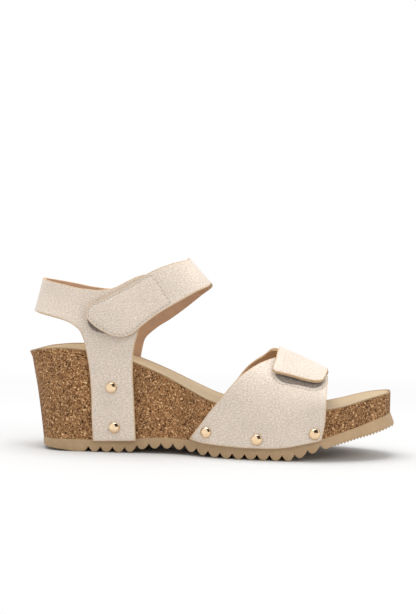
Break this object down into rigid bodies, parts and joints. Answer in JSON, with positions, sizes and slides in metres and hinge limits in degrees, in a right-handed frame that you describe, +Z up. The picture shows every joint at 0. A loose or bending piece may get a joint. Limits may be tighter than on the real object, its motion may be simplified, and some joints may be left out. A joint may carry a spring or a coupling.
{
  "type": "wedge sandal",
  "caption": "Open-toe right-foot wedge sandal: cork wedge on a lugged rubber outsole, vamp strap and ankle strap closed by hook-and-loop tabs, domed rivets along the wedge.",
  "frame": {"origin": "middle of the base of the object's box, on the ground", "axes": "+X from heel to toe, +Y to the medial (inner) side of the right foot, +Z up"},
  "size_m": [0.2524, 0.1002, 0.1323],
  "materials": {
    "outsole_rubber": "matt moulded khaki-tan rubber",
    "cork": "bare granular agglomerated cork",
    "cushion_foam": "soft cream foam",
    "footbed_suede": "light tan suede with a browner cut edge",
    "strap_leather": "pearly ivory fine-grained leather",
    "strap_lining": "smooth warm brown lining",
    "fastening_tape": "fuzzy grey-brown hook-and-loop tape",
    "rivet_gold": "polished pale gold"
  },
  "bodies": {
    "sandal": {"outsole": "outsole_rubber", "wedge": "cork", "cushion": "cushion_foam", "footbed_cover": "footbed_suede", "quarter_leather": "strap_leather", "quarter_lining": "strap_lining", "ankle_loop_tape": "fastening_tape", "lateral_vamp_leather": "strap_leather", "lateral_vamp_lining": "strap_lining", "vamp_loop_tape": "fastening_tape", "medial_vamp_leather": "strap_leather", "medial_vamp_lining": "strap_lining", "lateral_leg_rivet_1": "rivet_gold", "lateral_leg_rivet_2": "rivet_gold", "lateral_vamp_rivet_1": "rivet_gold", "lateral_vamp_rivet_2": "rivet_gold", "lateral_vamp_rivet_3": "rivet_gold", "medial_leg_rivet_1": "rivet_gold", "medial_leg_rivet_2": "rivet_gold", "medial_vamp_rivet_1": "rivet_gold", "medial_vamp_rivet_2": "rivet_gold", "medial_vamp_rivet_3": "rivet_gold"},
    "ankle_strap": {"ankle_strap_leather": "strap_leather", "ankle_strap_lining": "strap_lining"},
    "ankle_tab": {"ankle_tab_leather": "strap_leather", "ankle_tab_lining": "strap_lining", "ankle_hook_tape": "fastening_tape"},
    "vamp_strap": {"vamp_strap_leather": "strap_leather", "vamp_strap_lining": "strap_lining"},
    "vamp_tab": {"vamp_tab_leather": "strap_leather", "vamp_tab_lining": "strap_lining", "vamp_hook_tape": "fastening_tape"}
  },
  "joints": [
    {"name": "ankle_strap_swing", "type": "hinge", "parent": "sandal", "child": "ankle_strap", "pos_m": [-0.04315, 0.03214, 0.10228], "axis": [-0.4984, -0.0811, 0.8631], "range_deg": [0, 65]},
    {"name": "ankle_tab_peel", "type": "hinge", "parent": "ankle_strap", "child": "ankle_tab", "pos_m": [-0.03096, -0.03062, 0.11018], "axis": [-0.5174, -0.0307, 0.8552], "range_deg": [0, 100]},
    {"name": "vamp_strap_swing", "type": "hinge", "parent": "sandal", "child": "vamp_strap", "pos_m": [0.06474, 0.02277, 0.06135], "axis": [-0.9239, 0, 0.3827], "range_deg": [0, 60]},
    {"name": "vamp_tab_peel", "type": "hinge", "parent": "vamp_strap", "child": "vamp_tab", "pos_m": [0.0664, -0.01169, 0.0668], "axis": [-0.9159, 0, 0.4013], "range_deg": [0, 90]}
  ]
}
